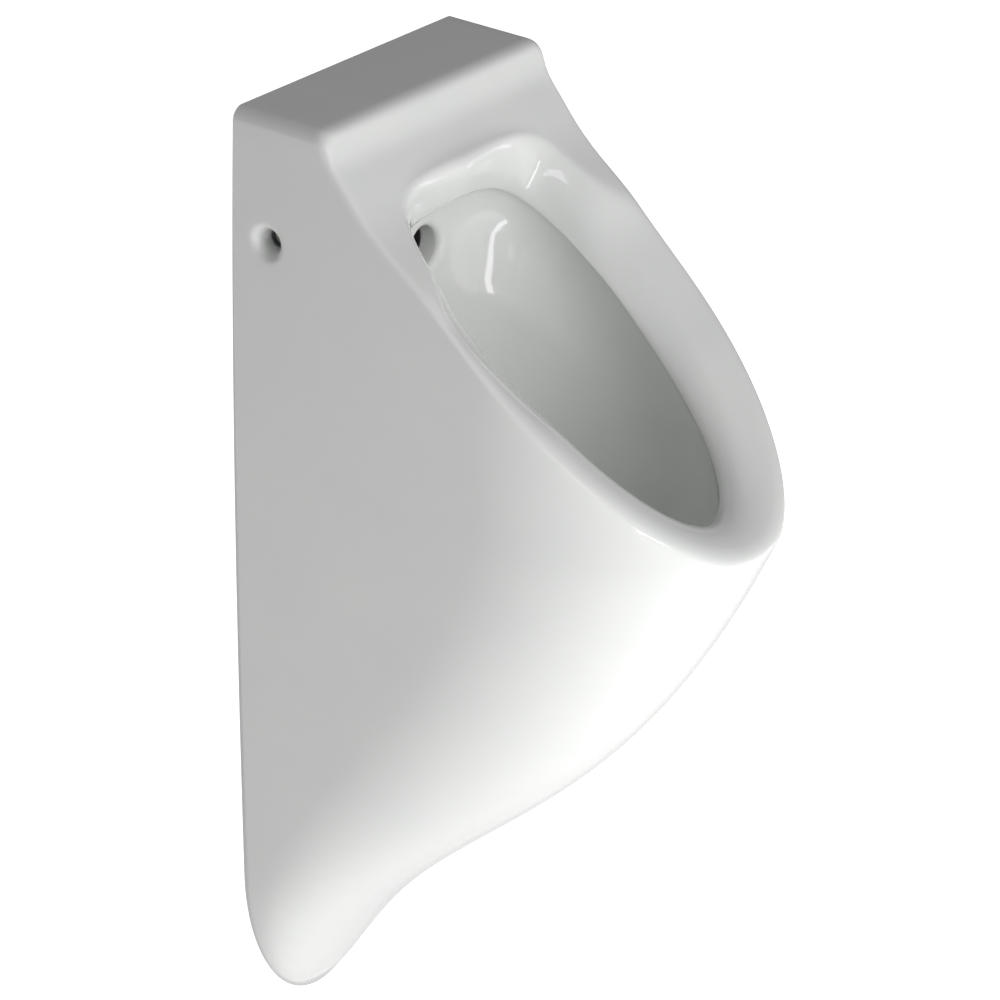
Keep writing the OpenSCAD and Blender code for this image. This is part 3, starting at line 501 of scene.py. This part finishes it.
def ringNormals(rings, i):
    # which way the skin faces at each point of a row, found from its neighbours
    before, after = rings[max(i - 1, 0)], rings[min(i + 1, len(rings) - 1)]
    row = rings[i]
    last = len(row) - 1
    found = []
    for j in range(last + 1):
        left = row[j - 1] if j > 0 else Vector((-row[1].x, row[1].y, row[1].z))
        right = row[j + 1] if j < last else Vector((-row[last - 1].x, row[last - 1].y, row[last - 1].z))
        found.append((after[j] - before[j]).cross(right - left).normalized())
    return found


def insetRow(rings, i, amount):
    # a row moved into the china by its thickness
    normals = ringNormals(rings, i)
    moved = [rings[i][j] - normals[j] * amount for j in range(len(rings[i]))]
    return [Vector((p.x, min(p.y, -ware["innerBack"]), p.z)) for p in moved]  # never behind the wall plane


def tuckCorner(points):
    # keeps a row inside the ware from folding over itself at the upper corner
    middle = ware["topSteps"] + ware["cornerSteps"] // 2
    last = ware["topSteps"] + ware["cornerSteps"] + 2
    for j in range(last + 1):
        points[j].x = min(points[j].x, points[last].x - ware["innerSpread"] * max(0, middle - j))
        points[j].z = min(points[j].z, points[0].z - ware["innerSpread"] * max(0, j - middle))
    return points


def outletRows():
    # from the bowl's floor down over the flange's seat and through the outlet, then up outside its boss
    floor = -floorHeight
    seat = floor - ware["recessDepth"]
    under = floor - ware["outletThick"]
    recess, hole, boss, edge = ware["recessRound"], ware["outletRound"], ware["bossRound"], ware["outletEdge"]
    # a radius and a height each; offsets under 1 mm round the edges
    profile = [(recess + ware["seatRound"], floor), (recess + 0.4, floor - 0.3), (recess, floor - edge),
               (recess, seat + 0.6), (recess - 0.4, seat), (hole + edge, seat), (hole + 0.3, seat - 0.2),
               (hole, seat - edge), (hole, under + edge), (hole + 0.6, under),
               (mixed(hole, boss, ware["bossMiddle"]), under), (boss - edge, under), (boss, under + edge),
               (boss, floor - 2 * edge)]
    return [roundRing(radius, z) for radius, z in profile]


def wareRows():
    outer = outerRings()
    skinEnd = ware["outerRings"]
    rimStart = skinEnd + ware["edgeRings"] + 1
    roofStart = rimStart + ware["rimRings"]
    bowlStart = roofStart + ware["roofRings"] + 1
    rows = outer + outletRows()
    # back up outside the bowl, behind the rim and down inside the skin
    inner = list(range(len(outer) - 2, bowlStart - 1, -ware["innerSkip"]))
    inner += [roofStart + i for i in ware["innerRoof"]]
    inner += [rimStart + int(ware["rimRings"] * share) for share in ware["innerRim"]]
    rows += [insetRow(outer, i, ware["wall"]) for i in inner]
    for i in range(int(skinEnd * ware["innerSkin"]), 0, -ware["innerSkip"]):
        rows.append(tuckCorner(insetRow(outer, i, ware["wall"])))
    # the flat back edge with its small rounding
    flat = tuckCorner(insetRow(outer, 1, ware["wall"]))
    for inset in (ware["backRound"], 0.0):
        rows.append([Vector((p.x, -inset, p.z)) for p in flat])
    toFlat = [Vector((p.x, 0, p.z)) for p in flat]
    rows.append([p + (f - p).normalized() * ware["backRound"] for p, f in zip(outer[0], toFlat)])
    rows.append([p.copy() for p in outer[0]])  # closes the back edge
    return rows


def gridFromRows(mesh, rows):
    # a flat grid whose points move to the rows' places
    across = len(rows[0]) - 1
    along = len(rows) - 1
    bmesh.ops.create_grid(mesh, x_segments=across, y_segments=along, size=1.0)
    for vert in mesh.verts:
        j = round((vert.co.x + 1) / 2 * across)
        i = round((vert.co.y + 1) / 2 * along)
        vert.co = rows[i][j]


# the flush hole and the two side holes: each loop of a mouth is a radius and its depth below the surface. The
# flush hole's radii are counted from its own. Clear is how far round the axis the ware's faces are taken away
holes = {
    "steps": 48, "reach": 30.0, "rayLead": 25.0, "sameSpot": 0.0001,
    "flushMouth": ((9, 0), (6, 0), (4.4, 0.05), (3.1, 0.25), (2.0, 0.7), (1.1, 1.4), (0.5, 2.3), (0.13, 3.3),
                   (0, 4.4)),
    "flushStraight": 18.0, "flushEdge": 0.8, "flushClear": 11.0, "flushClearInside": 4.0,
    "sideMouth": ((16.4, 0), (14.8, 0.03), (13.6, 0.15), (12.4, 0.5), (11.2, 1.2), (10.0, 2.3), (8.9, 3.8),
                  (8.0, 5.5), (7.2, 7.3), (6.6, 9.2)),
    "sideStraight": 11.0, "sideEdge": 1.0, "sideLip": 0.5, "sideSink": 0.3, "sideClear": 18.5,
    "sideClearInside": 1.5,
}


def openHole(mesh, centre, axis, side, clear, facing):
    # takes the faces near a hole's axis out of one side of the ware, and gives the edges that are left
    up = axis.cross(side)
    known = {e for e in mesh.edges if e.is_boundary}
    gone = []
    for face in mesh.faces:
        middle = face.calc_center_median() - centre
        near = min(math.hypot((v.co - centre).dot(side), (v.co - centre).dot(up)) for v in face.verts)
        if abs(middle.dot(axis)) < holes["reach"] and face.normal.dot(axis) * facing > 0 and near < clear:
            gone.append(face)
    bmesh.ops.delete(mesh, geom=gone, context="FACES")
    return [e for e in mesh.edges if e.is_boundary and e not in known]


def loopOrder(edges):
    # the corners of a closed loop of edges, in order
    nextTo = {}
    for edge in edges:
        for vert in edge.verts:
            nextTo.setdefault(vert, []).append(edge.other_vert(vert))
    order = [edges[0].verts[0], edges[0].verts[1]]
    while len(order) < len(nextTo):
        order.append([v for v in nextTo[order[-1]] if v != order[-2]][0])
    return order


def joinRings(mesh, first, second):
    # a band of four-sided faces between two round loops
    for k in range(len(first)):
        mesh.faces.new((first[k - 1], first[k], second[k], second[k - 1]))


def drawLoops(mesh, surface, edges, loops, centre, axis, side, depth):
    # fills from an open edge to a first round loop, then draws on through the others; each loop is a radius,
    # a depth, and 1 or -1 where it follows the outer or the inner surface
    up = axis.cross(side)
    rings = []
    for radius, below, follow in loops:
        rings.append([])
        for k in range(holes["steps"]):
            angle = 2 * math.pi * k / holes["steps"]
            p = centre + (side * math.cos(angle) + up * math.sin(angle)) * radius
            if follow:
                start = p - axis * holes["rayLead"] if follow > 0 else p + axis * (depth + holes["rayLead"])
                hit = surface.ray_cast(start, axis if follow > 0 else -axis)
                p = hit[0] if hit[0] is not None else p
            rings[-1].append(mesh.verts.new(p + axis * below))
    edgeLoop = loopOrder(edges)
    points = edgeLoop + rings[0]
    flat = [Vector(((v.co - centre).dot(side), (v.co - centre).dot(up))) for v in points]
    count = len(edgeLoop)
    lines = [(k, (k + 1) % count) for k in range(count)]
    lines += [(count + k, count + (k + 1) % holes["steps"]) for k in range(holes["steps"])]
    _, _, triangles, origins, _, _ = delaunay_2d_cdt(flat, lines, [], 1, holes["sameSpot"])
    for corners in triangles:
        known = [origins[k][0] for k in corners]
        if min(known) < count:  # the others fill the round loop itself, which stays open
            mesh.faces.new([points[k] for k in known])
    for first, second in zip(rings, rings[1:]):
        joinRings(mesh, first, second)
    return rings[-1]


def throughHole(mesh, surface, centre, axis, side, outsideLoops, insideLoops, clearOut, clearIn, depth):
    # axis points from the outside into the ware
    frontEdge = openHole(mesh, centre, axis, side, clearOut, -1)
    backEdge = openHole(mesh, centre, axis, side, clearIn, 1)
    front = drawLoops(mesh, surface, frontEdge, outsideLoops, centre, axis, side, depth)
    back = drawLoops(mesh, surface, backEdge, insideLoops, centre, axis, side, depth)
    joinRings(mesh, front, back)


def meshObject(name, mesh, material, smooth=True):
    # an object at the origin from a finished bmesh
    data = bpy.data.meshes.new(name)
    mesh.to_mesh(data)
    mesh.free()
    data.materials.append(material)
    for polygon in data.polygons:
        polygon.use_smooth = smooth
    made = bpy.data.objects.new(name, data)
    bpy.context.scene.collection.objects.link(made)
    return made


def flushHole(mesh, surface):
    # through the bowl's back wall and the boss behind it
    radius, boss = ware["inletRound"], ware["inletBoss"]
    bossDepth = ware["bowlBack"] - ware["inletBossEnd"]
    edge = holes["flushEdge"]
    outside = [(radius + more, below, 1) for more, below in holes["flushMouth"]]
    outside += [(radius, holes["flushStraight"], 0), (radius, bossDepth - edge, 0),
                (radius + edge, bossDepth, 0)]
    inside = [(boss, 0, -1), (boss, bossDepth - edge, 0), (boss - edge, bossDepth, 0)]
    throughHole(mesh, surface, Vector((0, -ware["bowlBack"], -ware["inletHeight"])), Vector((0, 1, 0)),
                Vector((1, 0, 0)), outside, inside, radius + holes["flushClear"],
                boss + holes["flushClearInside"], ware["wall"])


def sideHole(mesh, surface, way):
    # through the ware's side; way is 1 for the side at +X and -1 for the other
    radius, boss, thick = ware["sideHole"], ware["sideBoss"], ware["sideThick"]
    edge = holes["sideEdge"]
    outside = [(width, below, 1) for width, below in holes["sideMouth"]]
    outside += [(radius, holes["sideStraight"], 0), (radius, thick, 0)]
    inside = [(boss, holes["sideSink"], -1), (boss, thick - edge, 0), (boss - edge, thick, 0),
              (radius + holes["sideLip"], thick, 0)]
    centre = Vector((way * halfWidth(ware["sideHeight"]), -ware["sideOut"], -ware["sideHeight"]))
    throughHole(mesh, surface, centre, Vector((-way, 0, 0)), Vector((0, -way, 0)), outside, inside,
                holes["sideClear"], boss + holes["sideClearInside"], ware["wall"])


def makeWare():
    mesh = bmesh.new()
    gridFromRows(mesh, wareRows())
    bmesh.ops.remove_doubles(mesh, verts=mesh.verts, dist=ware["merge"])
    half = mesh.verts[:] + mesh.edges[:] + mesh.faces[:]
    bmesh.ops.mirror(mesh, geom=half, axis="X", merge_dist=2 * ware["merge"])
    bmesh.ops.remove_doubles(mesh, verts=mesh.verts, dist=ware["merge"])
    bmesh.ops.recalc_face_normals(mesh, faces=mesh.faces)
    surface = BVHTree.FromBMesh(mesh)
    flushHole(mesh, surface)
    for way in (1, -1):
        sideHole(mesh, surface, way)
    # millimetres from the top edge become metres from the flush inlet
    toFrame = Matrix.Scale(0.001, 4) @ Matrix.Translation((0, 0, ware["inletHeight"]))
    bmesh.ops.transform(mesh, matrix=toFrame, verts=mesh.verts)
    bmesh.ops.recalc_face_normals(mesh, faces=mesh.faces)
    return meshObject("ware_shell", mesh, china)


wareShell = makeWare()
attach(wareShell, "ware")
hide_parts("ceramic_body")
print("ware made", len(wareShell.data.polygons), "faces")

# the other pieces keep their own shapes and only get a finish
finishes = {
    "left_bracket": zinc, "right_bracket": zinc, "bracket_weld_nuts": zinc, "side_set_screws": zinc,
    "side_hole_sleeves": nylon, "wall_screws": zinc, "wall_screw_washers": zinc, "wall_plugs": nylon,
    "flush_pipe": plastic, "inlet_seal": rubber, "strainer": stainless, "dip_tube": plastic,
    "dip_tube_ring": rubber, "waste_body": chrome, "waste_top_seal": rubber, "waste_lower_seal": rubber,
    "waste_lock_nut": plastic, "union_nut": plastic, "union_washer": rubber, "trap_bottle": plastic,
    "slip_nut": plastic, "slip_washer": rubber, "outlet_pipe": plastic, "wall_drain_seal": rubber,
}
for nodeName, finish in finishes.items():
    piece = bpy.data.objects[nodeName]
    for holder in piece.material_slots:
        holder.material = finish
print("finishes given")

# floor, lights and camera
studio = {"floorDrop": 0.80, "floorSize": 14.0, "floorColour": "#F4F4F3", "floorRoughness": 0.6,
          "floorGlow": 0.43, "floorSeen": 1.0, "worldColour": "#FFFFFF", "worldStrength": 0.16}


def makeFloor():
    mesh = bmesh.new()
    bmesh.ops.create_grid(mesh, x_segments=1, y_segments=1, size=studio["floorSize"] / 2)
    bmesh.ops.translate(mesh, vec=(0, 0, -studio["floorDrop"]), verts=mesh.verts)
    pale, tree, shader, _ = startMaterial("pale floor", {
        "Base Color": linearColour(studio["floorColour"]), "Roughness": studio["floorRoughness"],
        "Emission Color": linearColour(studio["worldColour"])})
    # white where the camera sees it, dimmer for the light that it gives
    ray = addNode(tree, "ShaderNodeLightPath")
    glow = addNode(tree, "ShaderNodeMapRange", {"To Min": studio["floorGlow"], "To Max": studio["floorSeen"]},
                   {"Value": ray.outputs["Is Camera Ray"]})
    tree.links.new(glow.outputs["Result"], shader.inputs["Emission Strength"])
    return meshObject("studio_floor", mesh, pale, False)


makeFloor()


# flat lights in metres and watts; lean turns one about its own aim, in degrees, and the two big ones give
# light but no mirror image in the glaze
lights = {
    "front light": {"place": (-0.5, -2.6, 1.0), "aim": (0, -0.1, -0.1), "size": (1.3, 1.3), "power": 33,
                    "mirrored": False},
    "low front light": {"place": (0.1, -1.0, -0.72), "aim": (0, -0.2, -0.25), "size": (1.2, 0.7),
                        "power": 5.5, "mirrored": False},
    "soft top light": {"place": (0.1, -0.5, 2.5), "aim": (0, -0.1, 0), "size": (1.6, 1.6), "power": 2},
    "slanted strip light": {"place": (-0.87, -1.76, -0.4), "aim": (0.054, -0.09, -0.01), "size": (0.16, 1.2),
                            "power": 2.6, "lean": -55},
    "tall window light": {"place": (-1.3, -1.5, 0.45), "aim": (0, -0.1, 0), "size": (0.3, 0.9), "power": 1.8},
    "floor strip light": {"place": (1.1, -0.9, -0.72), "aim": (0, -0.1, 0), "size": (0.1, 1.2), "power": 0.5},
}


def addLight(name, place, aim, size, power, lean=0, mirrored=True):
    data = bpy.data.lights.new(name, "AREA")
    data.shape = "RECTANGLE"
    data.size, data.size_y = size
    data.energy = power
    lamp = bpy.data.objects.new(name, data)
    lamp.location = place
    turn = (Vector(aim) - Vector(place)).to_track_quat("-Z", "Y")
    lamp.rotation_euler = (turn @ Quaternion((0, 0, 1), math.radians(lean))).to_euler()
    lamp.visible_glossy = mirrored
    bpy.context.scene.collection.objects.link(lamp)


for lightName, settings in lights.items():
    addLight(lightName, **settings)

world = bpy.data.worlds.new("soft surround")
world.use_nodes = True
surround = world.node_tree.nodes["Background"]
surround.inputs["Color"].default_value = linearColour(studio["worldColour"])
surround.inputs["Strength"].default_value = studio["worldStrength"]
bpy.context.scene.world = world
bpy.context.scene.view_settings.view_transform = "Standard"

# the photograph's viewing angle, found by fitting the outline
viewpoint = {"azimuth": 55.36, "elevation": 25.39, "roll": 2.58, "place": (-2.35876, -1.76700, 1.19986),
             "focalPixels": 4764.83, "imagePixels": 1000.0, "sensorWidth": 36.0, "farthest": 60.0}


def makeCamera():
    azimuth, elevation, roll = (math.radians(viewpoint[k]) for k in ("azimuth", "elevation", "roll"))
    level = math.cos(elevation)
    forward = Vector((math.sin(azimuth) * level, math.cos(azimuth) * level, -math.sin(elevation)))
    right = Vector((math.cos(azimuth), -math.sin(azimuth), 0))
    up = right.cross(forward)
    turnedRight = right * math.cos(roll) + up * math.sin(roll)
    turnedUp = up * math.cos(roll) - right * math.sin(roll)
    data = bpy.data.cameras.new("photo camera")
    data.sensor_width = viewpoint["sensorWidth"]
    data.lens = viewpoint["focalPixels"] * viewpoint["sensorWidth"] / viewpoint["imagePixels"]
    data.clip_end = viewpoint["farthest"]
    camera = bpy.data.objects.new("photo camera", data)
    turn = Matrix((turnedRight, turnedUp, -forward)).transposed().to_4x4()
    camera.matrix_world = Matrix.Translation(viewpoint["place"]) @ turn
    bpy.context.scene.collection.objects.link(camera)
    bpy.context.scene.camera = camera


makeCamera()
print("studio and camera set")
